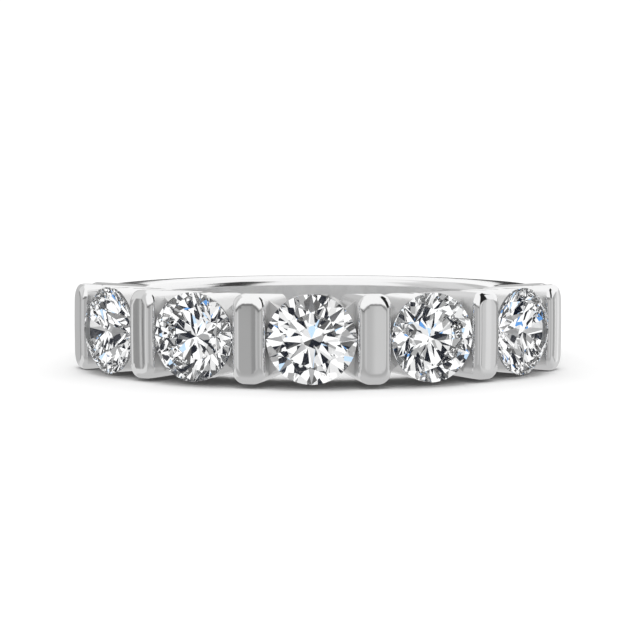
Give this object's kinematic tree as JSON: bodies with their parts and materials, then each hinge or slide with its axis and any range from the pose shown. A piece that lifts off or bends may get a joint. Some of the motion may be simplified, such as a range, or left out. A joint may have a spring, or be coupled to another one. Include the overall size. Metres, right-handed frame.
{
  "type": "diamond wedding band",
  "caption": "Polished white-metal band with round brilliant-cut stones held between upright bars across the front, on a plain tapered shank.",
  "frame": {"origin": "centre of the finger hole, halfway across the width of the band", "axes": "+Z along the finger axis, -Y through the middle stone, +X to the right of someone facing the stones"},
  "size_m": [0.023, 0.0231, 0.004],
  "materials": {
    "white_metal": "mirror-polished, rhodium-plated white gold",
    "diamond": "clear, colourless, faceted"
  },
  "bodies": {
    "root": {"band": "white_metal", "stone_1": "diamond", "stone_2": "diamond", "stone_3": "diamond", "stone_4": "diamond", "stone_5": "diamond"}
  },
  "joints": []
}
